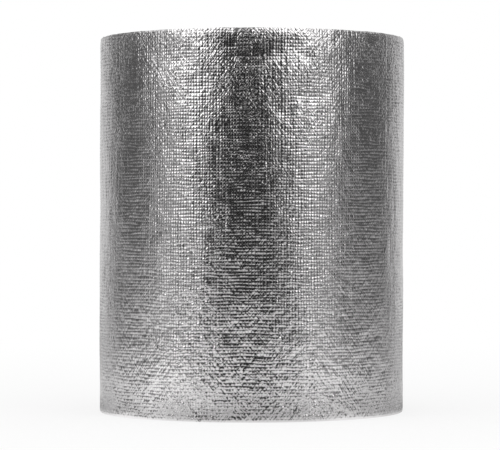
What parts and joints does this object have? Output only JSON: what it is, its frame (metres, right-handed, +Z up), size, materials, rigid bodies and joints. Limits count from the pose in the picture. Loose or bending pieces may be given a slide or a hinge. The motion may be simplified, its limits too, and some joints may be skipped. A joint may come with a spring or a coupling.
{
  "type": "insulation roll",
  "caption": "Roll of foil-faced woven glass-cloth insulation sheet, wound in a spiral round an open bore and standing on its end.",
  "frame": {"origin": "on the bore's axis, in the plane of the lower end that the roll stands on", "axes": "+Z up along the bore's axis; -Y faces the viewer of the picture"},
  "size_m": [0.0814, 0.0808, 0.1],
  "materials": {
    "foil_cloth": "bright foil pressed over a plain weave"
  },
  "bodies": {
    "root": {"roll": "foil_cloth"}
  },
  "joints": []
}
